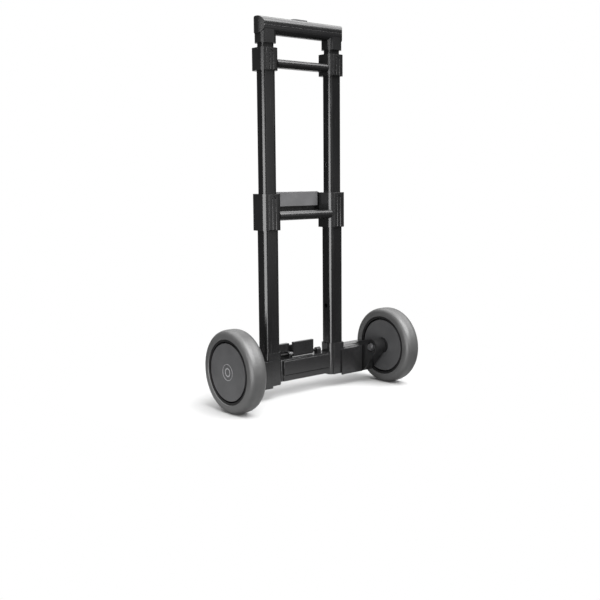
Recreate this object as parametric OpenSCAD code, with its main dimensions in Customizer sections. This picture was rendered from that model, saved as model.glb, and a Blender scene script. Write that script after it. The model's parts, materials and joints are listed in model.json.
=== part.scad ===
// Two-wheeled trolley of a portable tennis ball machine: wheels, base, telescoping tubes and pull handle.
// Ground plane Z = 0, axle along X through Y = 0, user side -Y, machine side +Y.

/* [Wheels] */
// Tyre diameter
wheel_d = 150; // [146:1:150]
// Tyre width
wheel_w = 35; // [34:0.5:36]
// Distance between the middles of the two wheels
track = 380; // [378:1:386]
// Radius of the grey cover discs
cover_r = 51.5; // [48:0.5:52]
// Radius where the tyre meets the rim
rim_r = 58.5; // [58:0.5:59]
// Axle radius in the wheel bushes
axle_r = 6; // [5.5:0.5:6.5]

/* [Tubes] */
// Distance between the middles of the two tube columns
tube_pitch = 158.7; // [156:0.1:160]
// How far the tube columns stand behind the axle
tube_y = 43.2; // [42.5:0.1:44]
// Width (X), depth (Y) and corner radius of the lower tubes
lower_size = [33.4, 28.2, 7.5];
// Width (X), depth (Y) and corner radius of the middle tubes
middle_size = [30.4, 22.8, 6.5];
// Width (X), depth (Y) and corner radius of the top tubes
top_size = [27.4, 19.4, 5.2];
// Wall of every tube
tube_wall = 1.2; // [1:0.1:1.2]
// Lower end of the lower tubes
lower_z0 = 33; // [32:1:36]
// Upper end of the lower tubes
lower_z1 = 378; // [376:1:378]
// Lower end of the middle tubes, drawn out
middle_z0 = 322; // [320:1:323]
// Upper end of the middle tubes, drawn out
middle_z1 = 638; // [636:1:638]
// Lower end of the top tubes, pushed in
top_z0 = 424; // [422:1:425]
// Upper end of the top tubes, pushed in
top_z1 = 672; // [670:1:672]

/* [Locks] */
// Height of the lock hole that holds the middle stage pushed in
lock_low_z = 162.5; // [160:0.5:165]
// Height of the lock hole that holds the middle stage drawn out
lock_high_z = 337; // [336:0.5:338]
// Height of the lock hole that holds the top stage pushed in
lock_top_z = 437; // [436:0.5:438]
// Travel of the top stage
top_travel = 175; // [174:0.5:176]
// Lock pin radius
pin_r = 4; // [3.5:0.1:4]
// Lock hole radius
lock_hole_r = 4.4; // [4.3:0.1:4.5]

/* [Base] */
// Underside of the base
base_z0 = 26; // [25:0.5:27]
// Top of the tube sockets
socket_z1 = 88.5; // [86:0.5:90]
// Front of the wheel carriers
carrier_y0 = 22.5; // [22:0.1:23]
// Back of the base
base_y1 = 60; // [59:0.5:61]
// Where the box of a wheel carrier ends and its arm starts
arm_x0 = 145; // [144:0.5:146]
// Outer face of the wheel arms
arm_x1 = 170; // [169:0.5:170.5]
// Radius of the axle boss at the end of each arm
boss_r = 15.5; // [15:0.5:16]

/* [Brackets] */
// Lower edge of the middle bracket
mid_z0 = 317; // [316:0.5:318]
// Upper edge of the middle bracket
mid_z1 = 384; // [384:0.5:385]
// Lower edge of the upper bracket
upper_z0 = 604; // [602:1:605]
// Upper edge of the upper bracket
upper_z1 = 644; // [644:0.5:645]
// Radius of the round bar that joins the middle collars
bar_r = 8.5; // [8:0.1:9]

/* [Handle] */
// Overall width of the grip
grip_w = 200; // [196:1:204]
// Depth of the grip
grip_d = 31; // [30:0.5:33]
// Underside of the grip between its legs
grip_z0 = 668; // [667:0.5:669]
// Top of the grip
grip_z1 = 698; // [697:0.5:699]
// Travel of the release button
button_travel = 4; // [3:0.5:4]

/* [Docking latch] */
// Pivot of the latch behind the axle and above the ground
latch_pivot = [43, 78];
// Width of the latch
latch_w = 50; // [48:1:52]
// Top of the latch
latch_z1 = 101; // [99:0.5:102]
// Radius of the latch pin
latch_pin_r = 2.5; // [2.4:0.1:2.6]

/* [Hidden] */
$fn = 64;
eps = 0.05;
seat_gap = 0.1;
slide_gap = 0.3;
run_gap = 0.05;
tube_x = tube_pitch / 2;
wheel_r = wheel_d / 2;
mid_collar = [41, 40.5, 9];
upper_collar = [38, 36.5, 8];
collar_back = 2.4;
pad_t = 1.5;
screw_r = 2.2;
screw_head_r = 4.2;
base_x = [60, 98.7];
plastic = [0.16, 0.16, 0.165];
gloss_black = [0.07, 0.07, 0.075];
grey_rubber = [0.36, 0.36, 0.36];
grey_plastic = [0.3, 0.3, 0.3];
steel = [0.72, 0.73, 0.74];
guide_white = [0.8, 0.8, 0.78];

// ---- shared shapes ----

// Rectangle with round corners, centred
module round_rect(w, d, r) {
    square([w - 2 * r, d], center = true);
    square([w, d - 2 * r], center = true);
    for (sx = [-1, 1], sy = [-1, 1])
        translate([sx * (w / 2 - r), sy * (d / 2 - r)]) circle(r);
}

// Upright round-cornered bar between two heights, grown all round by g
module upright(size, z0, z1, g = 0) {
    translate([0, 0, z0])
        linear_extrude(z1 - z0) round_rect(size[0] + 2 * g, size[1] + 2 * g, size[2] + g);
}

// Upright tube between two heights
module upright_tube(size, z0, z1) {
    difference() {
        upright(size, z0, z1);
        upright(size, z0 - 1, z1 + 1, -tube_wall);
    }
}

// Axis-aligned block from its low corner to its high corner
module block(lo, hi) {
    translate(lo) cube(hi - lo);
}

// Cylinder along X between two stations
module rod_x(r, x0, x1, y, z) {
    translate([x0, y, z]) rotate([0, 90, 0]) cylinder(r = r, h = x1 - x0);
}

// Cylinder along Y between two stations
module rod_y(r, y0, y1, x, z) {
    translate([x, y0, z]) rotate([-90, 0, 0]) cylinder(r = r, h = y1 - y0);
}

// Outline in the Y-Z plane, pushed out along X
module slab_x(x0, x1) {
    translate([x0, 0, 0]) rotate([90, 0, 90]) linear_extrude(x1 - x0) children();
}

// Children at one tube column, -1 left and 1 right; +X of the children points outward
module at_column(side) {
    translate([side * tube_x, tube_y, 0]) mirror([side < 0 ? 1 : 0, 0, 0]) children();
}

// Children at one wheel; +Z of the children points outward along the axle
module at_wheel(side) {
    translate([side * track / 2, 0, wheel_r]) rotate([0, side * 90, 0]) children();
}

// Children as drawn for the right side, mirrored for the left side
module on_side(side) {
    mirror([side < 0 ? 1 : 0, 0, 0]) children();
}

// Pan-head screw along Y: head outside at y_head, shank running towards -Y for a length
module screw_y(x, z, y_head, length) {
    difference() {
        union() {
            rod_y(screw_head_r, y_head, y_head + 2.2, x, z);
            rod_y(screw_r, y_head - length, y_head + eps, x, z);
        }
        translate([x, y_head + 1, z]) rotate([-90, 0, 0]) cylinder(r = 1.9, h = 3, $fn = 6);
    }
}

// ---- wheels ----

half_w = wheel_w / 2;
tread_steps = 20;
tyre_depth = wheel_r - rim_r;
shoulder = 1.5;
// Rounded tread: a squared-off oval from one sidewall over the tread to the other
function tread_point(a, n) = [
    rim_r + shoulder + (tyre_depth - shoulder) * pow(abs(sin(a)), 2 / n),
    half_w * sign(cos(a)) * pow(abs(cos(a)), 2 / n)
];

module tyre() {
    color(grey_rubber)
        rotate_extrude($fn = 128)
            polygon(concat(
                [[rim_r, -half_w + 1], [rim_r + 1, -half_w]],
                [for (i = [tread_steps:-1:0]) tread_point(i * 180 / tread_steps, 3.5)],
                [[rim_r + 1, half_w], [rim_r, half_w - 1]]
            ));
}

hub_r = 15.5;
hub_front = 14;
hub_back = -17;
bush_r = 9;
flange_r = 12;
bore_front = 8;
wall_half = 15.6;
wall_t = 4;
web_half = 2.5;
rib_t = 3;
rib_back = -12;
// Rim: a web and six ribs between the hub and an outer wall; the covers rest on the ribs
module rim() {
    pocket = 20;
    color(gloss_black) difference() {
        union() {
            difference() {
                translate([0, 0, -wall_half]) cylinder(r = rim_r - seat_gap, h = 2 * wall_half, $fn = 128);
                for (z0 = [web_half, -web_half - pocket])
                    translate([0, 0, z0]) cylinder(r = rim_r - wall_t, h = pocket, $fn = 128);
            }
            translate([0, 0, hub_back]) cylinder(r = hub_r, h = hub_front - hub_back);
            for (a = [0:60:359])
                rotate(a) translate([hub_r - 1, -rib_t / 2, rib_back])
                    cube([cover_r - hub_r - 1, rib_t, hub_front - rib_back]);
        }
        translate([0, 0, hub_back - 1]) cylinder(r = bush_r + seat_gap, h = 60);
        translate([0, 0, bore_front]) cylinder(r = flange_r + 0.5, h = pocket);
    }
}

cover_t = 2;
cap_r = 10;
module outer_cover() {
    color(grey_plastic) difference() {
        translate([0, 0, hub_front]) cylinder(r = cover_r, h = cover_t, $fn = 128);
        translate([0, 0, hub_front - 1]) cylinder(r = cap_r + slide_gap, h = 5);
    }
}

module inner_cover() {
    color(grey_plastic) difference() {
        translate([0, 0, rib_back - cover_t]) cylinder(r = cover_r, h = cover_t, $fn = 128);
        translate([0, 0, rib_back - 5]) cylinder(r = hub_r + slide_gap, h = 8);
    }
}

cap_ring = [5.6, 8.4];
module hub_cap() {
    color(grey_plastic) difference() {
        union() {
            translate([0, 0, hub_front - 1]) cylinder(r = flange_r + 0.4, h = 1);
            translate([0, 0, hub_front - eps]) cylinder(r = cap_r, h = cover_t + 0.4);
        }
        translate([0, 0, hub_front + 1.6]) difference() {
            cylinder(r = cap_ring[1], h = 3);
            translate([0, 0, -1]) cylinder(r = cap_ring[0], h = 5);
        }
    }
}

flange_t = 1.3;
module bush(z0, z1, flange_z) {
    difference() {
        union() {
            translate([0, 0, z0]) cylinder(r = bush_r, h = z1 - z0);
            translate([0, 0, flange_z]) cylinder(r = flange_r, h = flange_t);
        }
        translate([0, 0, z0 - 5]) cylinder(r = axle_r + run_gap, h = 40);
    }
}

module bushes() {
    color(guide_white) {
        bush(hub_back - eps, -6, hub_back - flange_t);
        bush(-2, bore_front + eps, bore_front);
    }
}

washer_t = 1.4;
nut_recess = 3;
head_z = bore_front + flange_t + 0.4;
arm_z = arm_x1 - track / 2;
nut_z = arm_x0 + nut_recess - track / 2;
thread_r = 5;
module axle() {
    color(steel) difference() {
        union() {
            translate([0, 0, arm_z]) cylinder(r = axle_r, h = head_z - arm_z + eps);
            translate([0, 0, nut_z - 8]) cylinder(r = thread_r, h = arm_z - nut_z + 8 + eps);
            translate([0, 0, head_z]) cylinder(r = 9, h = 3);
        }
        translate([0, 0, head_z + 1]) cylinder(r = 3.4, h = 4, $fn = 6);
    }
}

module axle_washer() {
    color(steel) difference() {
        translate([0, 0, arm_z]) cylinder(r = 11, h = washer_t - eps);
        translate([0, 0, arm_z - 1]) cylinder(r = axle_r + seat_gap, h = 4);
    }
}

module axle_nut() {
    color(steel) difference() {
        union() {
            translate([0, 0, nut_z - 5]) cylinder(r = 8, h = 5, $fn = 6);
            translate([0, 0, nut_z - 7]) cylinder(r = 6.4, h = 2 + eps);
        }
        translate([0, 0, nut_z - 10]) cylinder(r = thread_r + seat_gap, h = 12);
    }
}

// ---- base ----

socket_size = [base_x[1] - base_x[0], 31.4, 9];
pad_w = 26;
pad_out = 1.9;
pad_y0 = 26;
module tube_socket() {
    upright(socket_size, base_z0, socket_z1);
    block([pad_out - pad_w / 2, pad_y0 - tube_y, base_z0], [pad_out + pad_w / 2, -8, socket_z1]);
}

beam_y0 = 30;
panel_half = 57;
panel_y0 = 26.5;
beam_z = [30.5, 71.5];
strip_z1 = 41.6;
spigot = [[94, 31, 33], [131, 56, 67]];
lug_t = 4;
module pin_lug(x0, x1) {
    block([x0, latch_pivot[0] - 5, beam_z[1] - eps], [x1, latch_pivot[0] + 5, latch_pivot[1]]);
    rod_x(5, x0, x1, latch_pivot[0], latch_pivot[1]);
}

catch_x = [-60, -26];
catch_y = [49.5, 58];
catch_z1 = 97.5;
notch = [-15, 54, 93];
module base_housing() {
    color(plastic) difference() {
        union() {
            block([-base_x[0] - 2, beam_y0, beam_z[0]], [base_x[0] + 2, base_y1, beam_z[1]]);
            block([-panel_half, beam_y0 - 2, beam_z[0]], [panel_half, beam_y0 + 1, strip_z1]);
            for (side = [-1, 1]) {
                at_column(side) tube_socket();
                on_side(side) block(spigot[0], spigot[1]);
            }
            pin_lug(-base_x[0], -base_x[0] + lug_t);
            pin_lug(-36, -32);
            pin_lug(35, 45);
            block([catch_x[0], catch_y[0], beam_z[1] - eps], [catch_x[1], catch_y[1], catch_z1]);
            block([catch_x[1] - 1, notch[1], beam_z[1] - eps], [notch[0], catch_y[1], notch[2]]);
            block([-36, latch_pivot[0] + 4, beam_z[1] - eps], [-32, catch_y[1], 84]);
        }
        for (side = [-1, 1]) {
            at_column(side) upright(lower_size, lower_z0, 200, seat_gap);
            for (z = tube_screw_z) rod_y(screw_r + seat_gap, 50, 80, side * tube_x, z);
            on_side(side) {
                rod_y(screw_r + seat_gap, 48, 80, carrier_screw_x, 50);
                rod_y(1.7, 50, 80, insert_x, insert_z);
            }
        }
        rod_x(latch_pin_r + seat_gap, -70, 47, latch_pivot[0], latch_pivot[1]);
    }
}

tube_screw_z = [45, 72];
carrier_screw_x = 118;
insert_x = 40;
insert_z = 50;

panel_z = [42.6, 69.5];
module front_panel() {
    color(plastic) difference() {
        block([-panel_half, panel_y0, panel_z[0]], [panel_half, beam_y0 - seat_gap, panel_z[1]]);
        block([-panel_half - 1, panel_y0 - 1, panel_z[1] - 1],
              [panel_half + 1, panel_y0 + 1, panel_z[1] + 1]);
    }
}

carrier_skin = 3.2;
carrier_top = [75, 79.5];
carrier_z0 = 23;
// Section of the carrier box, looking along X
module carrier_section() {
    polygon([
        [carrier_y0, carrier_z0], [base_y1, carrier_z0],
        [base_y1, carrier_top[1]], [carrier_y0 + 15, carrier_top[1]],
        [carrier_y0 + 11, carrier_top[0] + 1.2], [carrier_y0, carrier_top[0]]
    ]);
}

// Point where a line from p meets the boss circle as a tangent, on the chosen side
function boss_tangent(p, side) =
    let (d = norm([p[0], p[1] - wheel_r]), to_p = atan2(p[1] - wheel_r, p[0]), open = acos(boss_r / d))
    [boss_r * cos(to_p + side * open), wheel_r + boss_r * sin(to_p + side * open)];

// Section of the wheel arm: the axle boss blended into the end of the base
module arm_section() {
    foot = [carrier_y0 + 1, carrier_z0];
    top_back = [base_y1 - 14, carrier_top[1]];
    translate([0, wheel_r]) circle(boss_r);
    polygon([
        boss_tangent(foot, -1), foot, [base_y1, carrier_z0], [base_y1, carrier_top[1]], top_back,
        boss_tangent(top_back, 1)
    ]);
}

box_x0 = 99.5;
edge_r = 5;
module wheel_carrier() {
    color(plastic) difference() {
        union() {
            slab_x(box_x0, arm_x0 - edge_r) carrier_section();
            slab_x(arm_x0 - edge_r - eps, arm_x0 + eps) intersection() {
                carrier_section();
                translate([carrier_y0 + edge_r, 0]) square(100);
            }
            translate([arm_x0 - edge_r, carrier_y0 + edge_r, carrier_z0])
                cylinder(r = edge_r, h = carrier_top[0] - carrier_z0);
            slab_x(arm_x0, arm_x1) arm_section();
            block([87, carrier_y0, carrier_z0], [box_x0 + eps, carrier_y0 + carrier_skin, carrier_top[0]]);
        }
        block([box_x0 - 1, spigot[0][1] - 0.2, spigot[0][2] - 0.2],
              [134, spigot[1][1] + 0.2, spigot[1][2] + 0.2]);
        rod_x(thread_r + seat_gap, arm_x0 - 10, arm_x1 + 10, 0, wheel_r);
        rod_x(11, arm_x0 - 10, arm_x0 + nut_recess, 0, wheel_r);
        rod_y(screw_r + seat_gap, 50, 80, carrier_screw_x, 50);
    }
}

module carrier_screws() {
    color(steel) for (side = [-1, 1]) screw_y(side * carrier_screw_x, 50, base_y1, 11);
}

module tube_screws() {
    socket_back = tube_y + socket_size[1] / 2;
    color(steel) for (side = [-1, 1], z = tube_screw_z)
        screw_y(side * tube_x, z, socket_back, 6.5);
}

// ---- docking latch ----

barrel_r = 5.5;
hook_y = 52;
hook_half = 14;
module docking_latch() {
    y0 = latch_pivot[0] - barrel_r;
    color(plastic) difference() {
        union() {
            rod_x(barrel_r, -latch_w / 2, latch_w / 2, latch_pivot[0], latch_pivot[1]);
            block([-latch_w / 2, y0, latch_pivot[1] - 3], [latch_w / 2, y0 + 6, latch_z1]);
            slab_x(-hook_half, hook_half) polygon([
                [y0 + 5, latch_z1 - 8], [hook_y, latch_z1 - 6], [hook_y, latch_z1 - 4], [y0 + 5, latch_z1]
            ]);
        }
        rod_x(latch_pin_r + run_gap, -40, 40, latch_pivot[0], latch_pivot[1]);
    }
}

module latch_pin() {
    color(steel) rod_x(latch_pin_r, -base_x[0] - 1.5, 46.5, latch_pivot[0], latch_pivot[1]);
}

// Torsion spring round the latch pin: close turns between the latch and the nearest lug
wire_r = 0.6;
module latch_spring() {
    color(steel) for (i = [0:4])
        translate([-31 + i * 1.25, latch_pivot[0], latch_pivot[1]])
            rotate([0, 90, 0]) rotate_extrude() translate([3.7, 0]) circle(wire_r, $fn = 16);
}

// ---- telescoping columns ----

module lock_hole(z) {
    rod_x(lock_hole_r, -30, 0, 0, z);
}

module lower_tube() {
    color(gloss_black) difference() {
        upright_tube(lower_size, lower_z0, lower_z1);
        lock_hole(lock_low_z);
        lock_hole(lock_high_z);
        for (z = tube_screw_z) rod_y(screw_r + seat_gap, 0, 30, 0, z);
        rod_y(screw_r + seat_gap, 0, 30, 0, mid_screw_z);
    }
}

module middle_tube() {
    color(gloss_black) difference() {
        upright_tube(middle_size, middle_z0, middle_z1);
        lock_hole(lock_high_z);
        lock_hole(lock_top_z);
        lock_hole(lock_top_z + top_travel);
        rod_y(screw_r + seat_gap, 0, 30, 0, upper_screw_z);
    }
}

module top_tube() {
    color(gloss_black) difference() {
        upright_tube(top_size, top_z0, top_z1);
        lock_hole(lock_top_z);
    }
}

mid_screw_z = 355;
upper_screw_z = 632;

pad_half = 11;
arch_r = 4.6;
// Tongue pad on the front of a collar: a raised pad with an arched slot cut round a tongue
module tongue_pad(size, z0, z1, arch_z) {
    y0 = collar_back - size[1] / 2 - pad_t;
    slot_w = 1.4;
    difference() {
        block([-pad_half, y0, z0], [pad_half, y0 + 6, z1]);
        difference() {
            union() {
                block([-arch_r, y0 - 1, z0 - 1], [arch_r, y0 + 1.1, arch_z]);
                rod_y(arch_r, y0 - 1, y0 + 1.1, 0, arch_z);
            }
            block([slot_w - arch_r, y0 - 2, z0 - 2], [arch_r - slot_w, y0 + 2, arch_z]);
            rod_y(arch_r - slot_w, y0 - 2, y0 + 2, 0, arch_z);
        }
    }
}

module collar(size, z0, z1, inner, inner_z1, next, screw_z, pocket_z) {
    color(plastic) difference() {
        union() {
            translate([0, collar_back, 0]) upright(size, z0, z1);
            tongue_pad(size, z0 + 1, z1 - 1, z1 - 9);
        }
        upright(inner, z0 - 1, inner_z1, seat_gap);
        upright(next, z0, z1 + 1, slide_gap + 0.3);
        rod_y(screw_r + seat_gap, 0, 30, 0, screw_z);
        rod_x(lock_hole_r + 0.4, -inner[0] / 2 - 3, 0, 0, pocket_z);
    }
}

module mid_collar() {
    collar(mid_collar, mid_z0, mid_z1, lower_size, mid_z1 - 1.5, middle_size, mid_screw_z, lock_high_z);
}

module upper_collar() {
    collar(upper_collar, upper_z0, upper_z1, middle_size, upper_z1 - 1.5, top_size, upper_screw_z,
           lock_top_z + top_travel);
}

// Guide ring that sits on the end of a tube, inside its collar, and steadies the next tube
module guide_ring(outer, inner, z0, z1) {
    color(guide_white) difference() {
        upright(outer, z0, z1);
        upright(inner, z0 - 1, z1 + 1, slide_gap);
    }
}

module mid_guides() {
    for (side = [-1, 1]) at_column(side) guide_ring(lower_size, middle_size, lower_z1, mid_z1 - 1.6);
}

module upper_guides() {
    for (side = [-1, 1]) at_column(side) guide_ring(middle_size, top_size, middle_z1, upper_z1 - 1.6);
}

bar_y = 32;
bar_z = 343;
shelf_y1 = 70;
shelf_t = 5;
shelf_z0 = bar_z - 4;
hanger_screw_x = 18;
screw_sink = 2.4;
back_reach = 7;
bar_reach = 5;
mid_half = tube_x - mid_collar[0] / 2;
module mid_bar() {
    color(plastic) difference() {
        union() {
            difference() {
                rod_x(bar_r, -mid_half - bar_reach, mid_half + bar_reach, bar_y, bar_z);
                for (side = [-1, 1])
                    at_column(side) translate([0, collar_back, 0]) upright(mid_collar, mid_z0, mid_z1);
            }
            block([-mid_half, bar_y, shelf_z0], [mid_half, shelf_y1, shelf_z0 + shelf_t]);
            block([-mid_half - back_reach, hanger_y[1] + seat_gap, shelf_z0],
                  [mid_half + back_reach, shelf_y1, mid_z1 + 1]);
        }
        for (side = [-1, 1]) {
            rod_y(hanger_hole_r, 60, 90, side * hanger_pitch / 2, hanger_hole_z);
            rod_y(screw_r + seat_gap, 60, 90, side * hanger_screw_x, hanger_hole_z);
            rod_y(screw_head_r + slide_gap, shelf_y1 - screw_sink, 90, side * hanger_screw_x, hanger_hole_z);
        }
    }
}

hanger_z = [359, 386.5];
hanger_y = [58, 65.9];
hanger_half = 54.2;
hanger_end = [4, 3];
hanger_pitch = 76;
hanger_hole_r = 2.7;
hanger_hole_z = 373;
module hanger_plate() {
    color(plastic) difference() {
        translate([0, 0, hanger_z[0]]) linear_extrude(hanger_z[1] - hanger_z[0])
            polygon([
                [-hanger_half, hanger_y[0]], [hanger_half, hanger_y[0]],
                [hanger_half, hanger_y[0]] + hanger_end, [hanger_half + hanger_end[0], hanger_y[1]],
                [-hanger_half - hanger_end[0], hanger_y[1]],
                [-hanger_half - hanger_end[0], hanger_y[0] + hanger_end[1]]
            ]);
        for (side = [-1, 1]) {
            rod_y(hanger_hole_r, hanger_y[0] + 4, 90, side * hanger_pitch / 2, hanger_hole_z);
            rod_y(screw_r + seat_gap, hanger_y[0] + 3, 90, side * hanger_screw_x, hanger_hole_z);
        }
    }
}

module hanger_screws() {
    color(steel) for (side = [-1, 1])
        screw_y(side * hanger_screw_x, hanger_hole_z, shelf_y1 - screw_sink + eps, 5.6);
}

module mid_collar_screws() {
    color(steel) for (side = [-1, 1])
        screw_y(side * tube_x, mid_screw_z, tube_y + collar_back + mid_collar[1] / 2,
                collar_back + mid_collar[1] / 2 - lower_size[1] / 2 + 1);
}

module upper_collar_screws() {
    color(steel) for (side = [-1, 1])
        screw_y(side * tube_x, upper_screw_z, tube_y + collar_back + upper_collar[1] / 2,
                collar_back + upper_collar[1] / 2 - middle_size[1] / 2 + 1);
}

module upper_bridge() {
    half = tube_x - upper_collar[0] / 2;
    color(plastic) {
        rod_x(7.5, -half, half, tube_y - 6, 618);
        rod_x(7.5, -half, half, tube_y + 6, 618);
        block([-half, tube_y - 6, 610.5], [half, tube_y + 6, 625.5]);
    }
}

// Plug in the foot of a sliding tube; it guides the tube and carries the lock pin
plug_bore_gap = 0.05;
module plug(outer, z0, z1, pin_z) {
    inner = [outer[0] - 2 * tube_wall, outer[1] - 2 * tube_wall, outer[2] - tube_wall];
    color(guide_white) difference() {
        upright(inner, z0, z1, -seat_gap);
        rod_x(pin_r + plug_bore_gap, -30, 6, 0, pin_z);
        translate([0, 0, pin_z + pin_r + 3]) cylinder(r = 5, h = 40);
    }
}

module lock_pin(outer, pin_z, inset) {
    tip = -outer[0] / 2 + inset;
    color(steel) {
        rod_x(pin_r, tip + 0.8, tip + 12, 0, pin_z);
        rod_x(pin_r - 0.8, tip, tip + 1, 0, pin_z);
    }
}

// Coil behind a lock pin, as a row of close turns
module pin_springs(outer, pin_z, inset) {
    start = -outer[0] / 2 + inset + 12.6;
    turns = 4;
    pitch = (6 - start - 1) / turns;
    color(steel) for (side = [-1, 1]) at_column(side) for (i = [0:turns])
        translate([start + 0.2 + i * pitch, 0, pin_z]) rotate([0, 90, 0])
            rotate_extrude() translate([2.6, 0]) circle(wire_r, $fn = 16);
}

plug_length = 27;
pin_inset = 1;

// ---- handle ----

leg_size = [35, 29, 9];
leg_z0 = 652;
split_z = 683;
grip_edge = 12;
grip_end = 20;
// Grip section, looking along X
module grip_section() {
    translate([tube_y, (grip_z0 + grip_z1) / 2]) round_rect(grip_d, grip_z1 - grip_z0, grip_edge);
}

module grip_body() {
    slab_x(-grip_w / 2 + grip_edge, grip_w / 2 - grip_edge) grip_section();
    for (side = [-1, 1]) at_column(side) upright(leg_size, leg_z0, (grip_z0 + grip_z1) / 2 + 2);
    for (side = [-1, 1]) intersection() {
        slab_x(-grip_w / 2, grip_w / 2) grip_section();
        translate([side * (grip_w / 2 - grip_end), tube_y, grip_z0 - 1])
            cylinder(r = grip_end, h = grip_z1 - grip_z0 + 2);
    }
}

button_size = [34, 12, 5];
button_z1 = 700;
well_z0 = split_z + 0.9;
button_z0 = well_z0 + button_travel + slide_gap;
skirt_z0 = 686;
cavity_half = 87;
cavity_y = 5;
cavity_z1 = 689;
// Hollow for the release link, and the well that the button sinks into
module grip_cavity() {
    block([-cavity_half, tube_y - cavity_y, grip_z0 + 6], [cavity_half, tube_y + cavity_y, cavity_z1]);
    block([-button_size[0] / 2 - slide_gap, tube_y - button_size[1] / 2 - slide_gap, well_z0],
          [button_size[0] / 2 + slide_gap, tube_y + button_size[1] / 2 + slide_gap, grip_z1 + 1]);
}

grip_screw_x = [-55, 55];
grip_screw_y = tube_y + 9;
grip_screw_z = grip_z0 + 4;
grip_screw_l = 18;
// Part of the grip body between two heights
module grip_slice(z0, z1) {
    intersection() {
        grip_body();
        block([-grip_w, -grip_w, z0], [grip_w, grip_w, z1]);
    }
}

module grip_lower() {
    color(plastic) difference() {
        grip_slice(leg_z0 - 1, split_z);
        grip_cavity();
        for (side = [-1, 1]) at_column(side) {
            upright(top_size, leg_z0 - 1, top_z1, seat_gap);
            translate([0, 0, leg_z0]) cylinder(r = cavity_y, h = grip_z0 + 12 - leg_z0);
        }
        for (x = grip_screw_x) translate([x, grip_screw_y, grip_z0 - 1]) {
            cylinder(r = screw_r + seat_gap, h = grip_screw_l);
            cylinder(r = screw_head_r + 0.4, h = grip_screw_z - grip_z0 + 1);
        }
    }
}

module grip_upper() {
    color(plastic) difference() {
        grip_slice(split_z + seat_gap, grip_z1 + 1);
        grip_cavity();
        for (x = grip_screw_x) translate([x, grip_screw_y, split_z - 1])
            cylinder(r = screw_r + seat_gap, h = 10);
    }
}

module grip_screws() {
    color(steel) for (x = grip_screw_x) translate([x, grip_screw_y, grip_screw_z - 2.2]) {
        cylinder(r = screw_head_r, h = 2.2);
        cylinder(r = screw_r, h = grip_screw_l + 2);
    }
}

module release_button() {
    color(grey_plastic) {
        translate([0, tube_y, button_z0]) linear_extrude(button_z1 - button_z0)
            round_rect(button_size[0], button_size[1], button_size[2]);
        block([-20, tube_y - 4.6, skirt_z0], [20, tube_y + 4.6, button_z0 + 0.5]);
    }
}

link_z = [680, 686];
link_half = [84, 3];
rod_r = 2.5;
rod_z0 = 455;
rod_z1 = link_z[1] - 0.5;
module release_link() {
    color(steel) difference() {
        block([-link_half[0], tube_y - link_half[1], link_z[0]],
              [link_half[0], tube_y + link_half[1], link_z[1]]);
        for (side = [-1, 1]) translate([side * tube_x, tube_y, link_z[0] - 5])
            cylinder(r = rod_r + seat_gap, h = 15);
    }
}

module release_rods() {
    color(steel) for (side = [-1, 1]) translate([side * tube_x, tube_y, rod_z0])
        cylinder(r = rod_r, h = rod_z1 - rod_z0);
}

module button_springs() {
    color(steel) for (side = [-1, 1], i = [0:3]) translate([side * 35, tube_y, grip_z0 + 6.7 + i * 1.5])
        rotate_extrude() translate([3.2, 0]) circle(wire_r, $fn = 16);
}

base_housing();
front_panel();
on_side(-1) wheel_carrier();  // wheel_carrier_left
on_side(1) wheel_carrier();  // wheel_carrier_right
carrier_screws();
tube_screws();
docking_latch();
latch_pin();
latch_spring();
at_wheel(-1) axle();  // axle_left
at_wheel(1) axle();  // axle_right
for (side = [-1, 1]) at_wheel(side) axle_washer();  // axle_washers
for (side = [-1, 1]) at_wheel(side) axle_nut();  // axle_nuts
at_wheel(-1) tyre();  // tyre_left
at_wheel(-1) rim();  // rim_left
at_wheel(-1) outer_cover();  // outer_cover_left
at_wheel(-1) inner_cover();  // inner_cover_left
at_wheel(-1) hub_cap();  // hub_cap_left
at_wheel(-1) bushes();  // bushes_left
at_wheel(1) tyre();  // tyre_right
at_wheel(1) rim();  // rim_right
at_wheel(1) outer_cover();  // outer_cover_right
at_wheel(1) inner_cover();  // inner_cover_right
at_wheel(1) hub_cap();  // hub_cap_right
at_wheel(1) bushes();  // bushes_right
at_column(-1) lower_tube();  // lower_tube_left
at_column(1) lower_tube();  // lower_tube_right
at_column(-1) mid_collar();  // mid_collar_left
at_column(1) mid_collar();  // mid_collar_right
mid_bar();
hanger_plate();
hanger_screws();
mid_collar_screws();
mid_guides();
at_column(-1) middle_tube();  // middle_tube_left
at_column(1) middle_tube();  // middle_tube_right
at_column(-1) plug(middle_size, middle_z0 + 1, middle_z0 + 1 + plug_length, lock_high_z);  // middle_plug_left
at_column(1) plug(middle_size, middle_z0 + 1, middle_z0 + 1 + plug_length, lock_high_z);  // middle_plug_right
at_column(-1) lock_pin(middle_size, lock_high_z, pin_inset);  // middle_pin_left
at_column(1) lock_pin(middle_size, lock_high_z, pin_inset);  // middle_pin_right
pin_springs(middle_size, lock_high_z, pin_inset);  // middle_pin_springs
at_column(-1) upper_collar();  // upper_collar_left
at_column(1) upper_collar();  // upper_collar_right
upper_bridge();
upper_collar_screws();
upper_guides();
at_column(-1) top_tube();  // top_tube_left
at_column(1) top_tube();  // top_tube_right
at_column(-1) plug(top_size, top_z0 + 1, top_z0 + 1 + plug_length, lock_top_z);  // top_plug_left
at_column(1) plug(top_size, top_z0 + 1, top_z0 + 1 + plug_length, lock_top_z);  // top_plug_right
at_column(-1) lock_pin(top_size, lock_top_z, pin_inset);  // top_pin_left
at_column(1) lock_pin(top_size, lock_top_z, pin_inset);  // top_pin_right
pin_springs(top_size, lock_top_z, pin_inset);  // top_pin_springs
grip_lower();
grip_upper();
grip_screws();
release_button();
release_link();
release_rods();
button_springs();
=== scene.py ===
"""Trolley of a portable ball machine: materials, finer pieces, light and camera round the CAD frame."""

import json
import math

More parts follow.
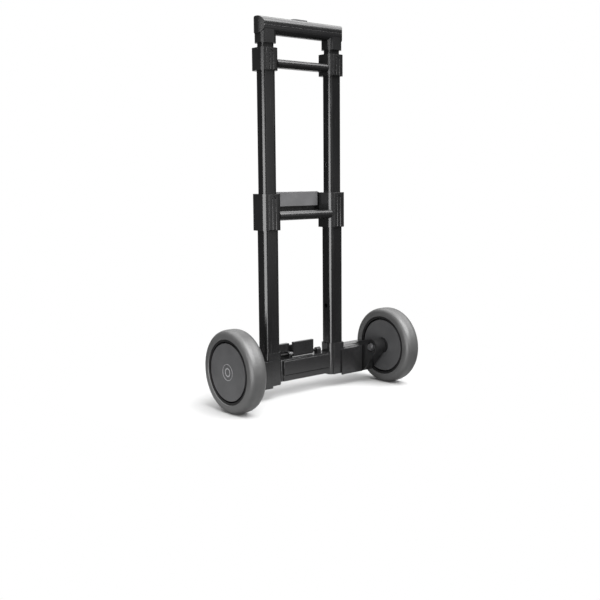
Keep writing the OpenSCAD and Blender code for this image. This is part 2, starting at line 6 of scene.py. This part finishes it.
import bmesh
import bpy
from mathutils import Matrix, Vector

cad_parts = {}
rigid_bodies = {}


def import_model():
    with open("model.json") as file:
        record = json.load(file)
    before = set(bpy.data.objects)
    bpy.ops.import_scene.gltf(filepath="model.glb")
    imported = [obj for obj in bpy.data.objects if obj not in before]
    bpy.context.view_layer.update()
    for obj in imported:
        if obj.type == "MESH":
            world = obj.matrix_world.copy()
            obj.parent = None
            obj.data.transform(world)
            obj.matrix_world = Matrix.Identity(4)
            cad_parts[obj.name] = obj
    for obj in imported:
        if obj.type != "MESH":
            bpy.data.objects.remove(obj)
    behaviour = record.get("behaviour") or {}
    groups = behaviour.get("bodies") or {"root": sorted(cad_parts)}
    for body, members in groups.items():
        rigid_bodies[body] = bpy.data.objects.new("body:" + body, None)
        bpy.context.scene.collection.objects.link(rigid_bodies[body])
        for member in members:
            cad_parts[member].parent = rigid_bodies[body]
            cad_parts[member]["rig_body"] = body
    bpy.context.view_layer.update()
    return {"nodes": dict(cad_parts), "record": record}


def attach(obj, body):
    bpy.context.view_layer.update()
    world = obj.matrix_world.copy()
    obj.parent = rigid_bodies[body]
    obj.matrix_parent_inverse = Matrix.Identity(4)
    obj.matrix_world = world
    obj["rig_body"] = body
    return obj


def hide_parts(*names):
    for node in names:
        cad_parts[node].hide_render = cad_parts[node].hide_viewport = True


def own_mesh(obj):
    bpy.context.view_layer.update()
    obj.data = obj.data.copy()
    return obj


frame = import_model()
nodes = frame["nodes"]

MM = 0.001
SIDES = {"left": -1, "right": 1}
WHEEL_R = 75 * MM
WHEEL_X = 190 * MM
# Edges shorter than this, such as those round a small hole, get no radius
SHORT_EDGE = 2 * MM
# Edges that turn further than this are shaded as sharp
CREASE = math.radians(38)
SLOT_OF = {part["node"]: part["material_slot"] for part in frame["record"]["subparts"]}


# ---------------------------------------------------------------- materials

class Shader:
    """A node material built step by step; every socket is a number, a colour or another node's output."""

    def __init__(self, name, **settings):
        self.material = bpy.data.materials.new(name)
        self.material.use_nodes = True
        self.tree = self.material.node_tree
        self.bsdf = self.tree.nodes["Principled BSDF"]
        for socket, value in settings.items():
            self.bsdf.inputs[socket.replace("_", " ")].default_value = value
        self.place = self.add("ShaderNodeTexCoord").outputs["Object"]

    def add(self, kind, **settings):
        node = self.tree.nodes.new(kind)
        for key, value in settings.items():
            setattr(node, key, value)
        return node

    def feed(self, socket, value):
        if isinstance(value, bpy.types.NodeSocket):
            self.tree.links.new(value, socket)
        else:
            socket.default_value = value

    def noise(self, scale, detail=3.0, stretch=(1, 1, 1), roughness=0.5):
        mapping = self.add("ShaderNodeMapping")
        self.feed(mapping.inputs["Vector"], self.place)
        mapping.inputs["Scale"].default_value = stretch
        node = self.add("ShaderNodeTexNoise")
        self.feed(node.inputs["Vector"], mapping.outputs["Vector"])
        node.inputs["Scale"].default_value = scale
        node.inputs["Detail"].default_value = detail
        node.inputs["Roughness"].default_value = roughness
        return node.outputs["Fac"]

    def ramp(self, value, low, high, to_low=0.0, to_high=1.0):
        node = self.add("ShaderNodeMapRange")
        self.feed(node.inputs["Value"], value)
        limits = {"From Min": low, "From Max": high, "To Min": to_low, "To Max": to_high}
        for socket, number in limits.items():
            node.inputs[socket].default_value = number
        return node.outputs["Result"]

    def math(self, operation, a, b=0.0):
        node = self.add("ShaderNodeMath", operation=operation)
        self.feed(node.inputs[0], a)
        self.feed(node.inputs[1], b)
        return node.outputs[0]

    def mix(self, amount, a, b):
        node = self.add("ShaderNodeMix", data_type="RGBA")
        self.feed(node.inputs["Factor"], amount)
        self.feed(node.inputs["A"], a)
        self.feed(node.inputs["B"], b)
        return node.outputs["Result"]

    def bump(self, height, distance, normal=None):
        node = self.add("ShaderNodeBump")
        node.inputs["Distance"].default_value = distance
        self.feed(node.inputs["Height"], height)
        if normal is not None:
            self.feed(node.inputs["Normal"], normal)
        return node.outputs["Normal"]

    def edge_wear(self, radius, low=0.02, high=0.12):
        """1 on sharp edges and 0 on faces, from how far a rounded normal leans from the true one."""
        rounded = self.add("ShaderNodeBevel", samples=4)
        rounded.inputs["Radius"].default_value = radius
        true = self.add("ShaderNodeNewGeometry").outputs["Normal"]
        dot = self.add("ShaderNodeVectorMath", operation="DOT_PRODUCT")
        self.feed(dot.inputs[0], rounded.outputs["Normal"])
        self.feed(dot.inputs[1], true)
        return self.ramp(dot.outputs["Value"], 1 - low, 1 - high)

    def done(self, colour=None, roughness=None, normal=None):
        for socket, value in (("Base Color", colour), ("Roughness", roughness), ("Normal", normal)):
            if value is not None:
                self.feed(self.bsdf.inputs[socket], value)
        return self.material


def grey(value, tint=0.0):
    return (value, value, value * (1 + tint), 1)


def moulded_plastic(name, shade, rough, grain=1.0, specular=0.5):
    """Satin moulded plastic: spark-eroded grain, slow shade drift and edges rubbed a little lighter."""
    s = Shader(name, Specular_IOR_Level=specular)
    drift = s.noise(28, 4)
    fine = s.noise(2600, 2)
    medium = s.noise(900, 3)
    wear = s.math("MULTIPLY", s.edge_wear(0.5 * MM), s.ramp(s.noise(160, 4), 0.42, 0.62))
    base = s.mix(s.ramp(drift, 0.35, 0.65), grey(shade * 0.88, 0.03), grey(shade * 1.12, 0.03))
    colour = s.mix(s.math("MULTIPLY", wear, 0.35), base, grey(shade * 2.2))
    roughness = s.math("ADD", s.ramp(s.noise(45, 3), 0.3, 0.7, rough - 0.02, rough + 0.02),
                       s.ramp(medium, 0.3, 0.7, -0.006, 0.006))
    normal = s.bump(fine, 0.002 * MM * grain, s.bump(medium, 0.004 * MM * grain))
    return s.done(colour, roughness, normal)


def gloss_tube(name):
    """Gloss black anodised tube: drawn lines along its length under a hard, clear surface."""
    s = Shader(name, Specular_IOR_Level=0.42)
    lines = s.noise(900, 2, (1, 1, 0.004))
    smear = s.noise(22, 4, (1, 1, 0.25))
    scuffs = s.ramp(s.noise(240, 3, (1, 1, 0.05)), 0.62, 0.72)
    colour = s.mix(s.ramp(smear, 0.35, 0.7), grey(0.0025, 0.05), grey(0.004, 0.05))
    colour = s.mix(s.math("MULTIPLY", scuffs, 0.1), colour, grey(0.04))
    roughness = s.math("ADD", s.ramp(smear, 0.3, 0.7, 0.2, 0.26), s.math("MULTIPLY", scuffs, 0.06))
    normal = s.bump(lines, 0.001 * MM, s.bump(s.noise(120, 2), 0.004 * MM))
    return s.done(colour, roughness, normal)


def soft_rubber(name):
    """Grey thermoplastic rubber: matt skin with a fine mould grain and a trace of dust."""
    s = Shader(name, Specular_IOR_Level=0.4)
    drift = s.noise(18, 5)
    grain = s.noise(1500, 3)
    dust = s.ramp(s.noise(55, 6, roughness=0.65), 0.48, 0.72)
    base = s.mix(s.ramp(drift, 0.35, 0.65), grey(0.025), grey(0.029))
    colour = s.mix(s.math("MULTIPLY", dust, 0.12), base, grey(0.05, -0.03))
    roughness = s.math("ADD", s.ramp(grain, 0.3, 0.7, 0.4, 0.48), s.math("MULTIPLY", dust, 0.1))
    normal = s.bump(grain, 0.02 * MM, s.bump(s.noise(260, 3), 0.02 * MM))
    return s.done(colour, roughness, normal)


def plated_steel(name, shade=0.55, rough=0.3):
    """Plated or oiled steel: fine turning marks and slight staining."""
    s = Shader(name, Metallic=1.0)
    turned = s.noise(700, 3, (1, 0.2, 0.2))
    stain = s.ramp(s.noise(150, 4), 0.4, 0.7)
    colour = s.mix(stain, grey(shade, 0.03), grey(shade * 0.78, -0.02))
    roughness = s.math("ADD", s.ramp(turned, 0.3, 0.7, rough - 0.06, rough + 0.06),
                       s.math("MULTIPLY", stain, 0.08))
    return s.done(colour, roughness, s.bump(turned, 0.01 * MM))


MATERIALS = {
    "satin_plastic": moulded_plastic("satin_black_plastic", 0.005, 0.24, 1.0, 0.42),
    # A copy of the black plastic painted a lighter grey: a painted highlight for the light that the part's
    # face catches, not a paler plastic
    "lit_plastic": moulded_plastic("painted_lit_black_plastic", 0.05, 0.4),
    "tube_black": gloss_tube("gloss_black_tube"),
    "tyre_grey": soft_rubber("grey_soft_rubber"),
    "rim_black": moulded_plastic("black_rim_plastic", 0.004, 0.55, 1.0, 0.12),
    "cover_grey": moulded_plastic("grey_cover_plastic", 0.025, 0.55, 2.0, 0.25),
    "bearing_plastic": moulded_plastic("grey_nylon", 0.08, 0.4),
    "zinc_steel": plated_steel("zinc_plated_steel", 0.2, 0.32),
    "ring_paint": moulded_plastic("pale_ring_paint", 0.11, 0.5),
    "black_steel": plated_steel("black_oxide_steel", 0.012, 0.4),
    "spring_steel": plated_steel("spring_wire", 0.1, 0.32),
}


def dress(obj, slot):
    obj.data.materials.clear()
    obj.data.materials.append(MATERIALS[slot])


# ---------------------------------------------------------------- pieces

def add_piece(name, bm, slot, body, *stands_for):
    """Turns a bmesh into a smooth-shaded piece that rides on a body and stands for CAD nodes."""
    for edge in bm.edges:
        edge.smooth = edge.calc_face_angle(0) < CREASE
    mesh = bpy.data.meshes.new(name)
    bm.to_mesh(mesh)
    bm.free()
    for polygon in mesh.polygons:
        polygon.use_smooth = True
    piece = bpy.data.objects.new(name, mesh)
    bpy.context.scene.collection.objects.link(piece)
    dress(piece, slot)
    shading = piece.modifiers.new("even_normals", "WEIGHTED_NORMAL")
    shading.keep_sharp = True
    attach(piece, body)
    if stands_for:
        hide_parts(*stands_for)
    return piece


def soften(name, width, sharp_angle=35, segments=2):
    """A copy of a CAD node whose sharp edges are rounded off by a small moulding or machining radius."""
    bm = bmesh.new()
    bm.from_mesh(nodes[name].data)
    bmesh.ops.remove_doubles(bm, verts=bm.verts, dist=0.002 * MM)
    bmesh.ops.dissolve_limit(bm, angle_limit=math.radians(0.4), verts=bm.verts, edges=bm.edges)
    edges = [e for e in bm.edges if e.is_manifold and e.is_convex and e.calc_length() > SHORT_EDGE
             and e.calc_face_angle(0) > math.radians(sharp_angle)]
    bmesh.ops.bevel(bm, geom=edges, offset=width, offset_type="OFFSET", segments=segments, profile=0.5,
                    affect="EDGES", clamp_overlap=False, loop_slide=True)
    return add_piece(name + "_finished", bm, SLOT_OF[name], nodes[name]["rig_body"], name)


def lathe(name, profile, slot, side, *stands_for, steps=192):
    """A closed ring on one wheel; profile is a loop of (radius, offset outwards from its middle plane)."""
    bm = bmesh.new()
    rings = []
    for step in range(steps):
        turn = 2 * math.pi * step / steps
        y, z = math.cos(turn), math.sin(turn)
        rings.append([bm.verts.new((side * (WHEEL_X + out), r * y, WHEEL_R + r * z)) for r, out in profile])
    for step in range(steps):
        here, there = rings[step], rings[(step + 1) % steps]
        for i in range(len(profile)):
            j = (i + 1) % len(profile)
            bm.faces.new((here[i], here[j], there[j], there[i]))
    bmesh.ops.recalc_face_normals(bm, faces=bm.faces)
    body = "wheel_left" if side < 0 else "wheel_right"
    return add_piece(name, bm, slot, body, *stands_for)


def tyre_profile(points=48):
    """A squarish rounded tread over two small shoulders, with the mould's parting line round the middle."""
    seat, shoulder = 58.5 * MM, 1.5 * MM
    half_width, depth = 17.5 * MM, WHEEL_R - 60 * MM
    loop = [(seat, -half_width + MM), (seat + MM, -half_width)]
    for i in range(points + 1):
        angle = math.pi * i / points
        rise, run = math.sin(angle), -math.cos(angle)
        parting = 0.12 * MM * math.exp(-(run / 0.02) ** 2)
        loop.append((seat + shoulder + depth * rise ** (2 / 3.5) - parting,
                     half_width * math.copysign(abs(run) ** (2 / 3.5), run)))
    return loop + [(seat + MM, half_width), (seat, half_width - MM)]


def ring_profile(inner, outer, base, height):
    """A flat ring with its two front edges rounded."""
    edge = 0.2 * MM
    return [(inner, base), (inner, base + height - edge), (inner + edge, base + height),
            (outer - edge, base + height), (outer, base + height - edge), (outer, base)]


# Edge radius in mm, and the nodes that get it
SOFTENED = {
    1.0: ["mid_collar_left", "mid_collar_right", "upper_collar_left", "upper_collar_right", "hanger_plate"],
    0.6: ["wheel_carrier_left", "wheel_carrier_right"],
    0.5: ["base_housing", "grip_lower", "grip_upper", "mid_bar", "upper_bridge"],
    0.4: ["front_panel", "docking_latch", "release_button"],
    0.2: ["rim_left", "rim_right", "outer_cover_left", "outer_cover_right", "inner_cover_left",
          "inner_cover_right", "hub_cap_left", "hub_cap_right", "axle_left", "axle_right", "axle_nuts",
          "axle_washers"],
    0.15: ["lower_tube_left", "lower_tube_right", "middle_tube_left", "middle_tube_right", "top_tube_left",
           "top_tube_right"],
}

for name, obj in nodes.items():
    dress(obj, SLOT_OF[name])
for width, names in SOFTENED.items():
    for name in names:
        soften(name, width * MM)


def compress(name):
    """A smooth-shaded copy of a spring node, with a mesh of its own."""
    bm = bmesh.new()
    bm.from_mesh(nodes[name].data)
    piece = add_piece(name + "_finished", bm, SLOT_OF[name], nodes[name]["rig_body"], name)
    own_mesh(piece)


# Inner radius, outer radius and seat above the wheel's middle plane of each painted ring, in mm
PAINTED_RINGS = {"hub_ring": (5.9, 8.1, 15.6), "cap_ring": (14.0, 14.7, 15.9)}
RING_HEIGHT = 0.5 * MM

compress("button_springs")
for name, side in SIDES.items():
    lathe("tyre_" + name + "_finished", tyre_profile(), "tyre_grey", side, "tyre_" + name)
    for ring, (inner, outer, base) in PAINTED_RINGS.items():
        profile = ring_profile(inner * MM, outer * MM, base * MM, RING_HEIGHT)
        piece = lathe(ring + "_" + name, profile, "cover_grey", side)
        piece.data.materials[0] = MATERIALS["ring_paint"]


# ---------------------------------------------------------------- stage

def make_floor():
    """A round pale floor that thins out to the white backdrop, so that no horizon shows."""
    bm = bmesh.new()
    bmesh.ops.create_circle(bm, cap_ends=True, segments=96, radius=0.5)
    mesh = bpy.data.meshes.new("floor")
    bm.to_mesh(mesh)
    bm.free()
    floor = bpy.data.objects.new("floor", mesh)
    floor.location.y = 0.15
    bpy.context.scene.collection.objects.link(floor)
    s = Shader("pale_floor")
    speckle = s.noise(6, 4)
    s.done(s.mix(speckle, grey(0.22), grey(0.235)), s.ramp(speckle, 0.3, 0.7, 0.86, 0.94))
    distance = s.add("ShaderNodeVectorMath", operation="LENGTH")
    s.feed(distance.inputs[0], s.place)
    s.feed(s.bsdf.inputs["Alpha"], s.ramp(distance.outputs["Value"], 0.27, 0.4, 1.0, 0.0))
    mesh.materials.append(s.material)


def softbox(name, azimuth, distance, middle_height, size, radiance):
    """A rectangular light facing the object; azimuth is in degrees from -Y towards -X."""
    angle = math.radians(azimuth)
    place = Vector((-distance * math.sin(angle), -distance * math.cos(angle), middle_height))
    data = bpy.data.lights.new(name, "AREA")
    data.shape = "RECTANGLE"
    data.size, data.size_y = size
    data.energy = radiance * math.pi * size[0] * size[1]
    light = bpy.data.objects.new(name, data)
    light.location = place
    light.rotation_euler = (Vector((0, 0, middle_height)) - place).to_track_quat("-Z", "Y").to_euler()
    bpy.context.scene.collection.objects.link(light)


def dome(name, azimuth, elevation, irradiance, spread):
    """A wide, even light from one direction; spread is its angle across in degrees."""
    data = bpy.data.lights.new(name, "SUN")
    data.energy = irradiance
    data.angle = math.radians(spread)
    light = bpy.data.objects.new(name, data)
    turn, rise = math.radians(azimuth), math.radians(elevation)
    towards = Vector((-math.sin(turn) * math.cos(rise), -math.cos(turn) * math.cos(rise), math.sin(rise)))
    light.rotation_euler = (-towards).to_track_quat("-Z", "Y").to_euler()
    bpy.context.scene.collection.objects.link(light)


def make_light():
    """A softbox at the left front draws the bright bands; the key and overhead light whiten the floor."""
    world = bpy.data.worlds.new("studio")
    world.use_nodes = True
    tree = world.node_tree
    backdrop = tree.nodes["Background"]
    backdrop.inputs["Color"].default_value = (1, 1, 1, 1)
    seen = tree.nodes.new("ShaderNodeLightPath")
    brightness = tree.nodes.new("ShaderNodeMapRange")
    brightness.inputs["To Min"].default_value = 0.1
    brightness.inputs["To Max"].default_value = 1.0
    tree.links.new(seen.outputs["Is Camera Ray"], brightness.inputs["Value"])
    tree.links.new(brightness.outputs["Result"], backdrop.inputs["Strength"])
    bpy.context.scene.world = world
    bpy.context.scene.view_settings.view_transform = "Standard"
    softbox("left_softbox", 65, 2.5, 0.12, (3.6, 1.45), 10.0)
    softbox("strip_softbox", -26, 2.4, 0.5, (0.9, 1.0), 1.2)
    softbox("back_softbox", -150, 2.6, 0.8, (2.0, 1.2), 1.0)
    dome("overhead", 0, 90, 8.0, 110)
    dome("key", -12, 52, 11.0, 60)


def make_camera():
    place = Vector((-1.08301, -1.25833, 0.41650))
    yaw, pitch, roll = 0.6924, 0.1390, -0.0085
    ahead = Vector((math.sin(yaw) * math.cos(pitch), math.cos(yaw) * math.cos(pitch), -math.sin(pitch)))
    level = Vector((math.cos(yaw), -math.sin(yaw), 0))
    upward = level.cross(ahead)
    right = math.cos(roll) * level + math.sin(roll) * upward
    upward = right.cross(ahead)
    data = bpy.data.cameras.new("camera")
    data.sensor_width = 36.0
    data.lens = 53.33
    camera = bpy.data.objects.new("camera", data)
    turn = Matrix((right, upward, -ahead)).transposed()
    camera.matrix_world = Matrix.Translation(place) @ turn.to_4x4()
    bpy.context.scene.collection.objects.link(camera)
    bpy.context.scene.camera = camera


make_floor()
make_light()
make_camera()
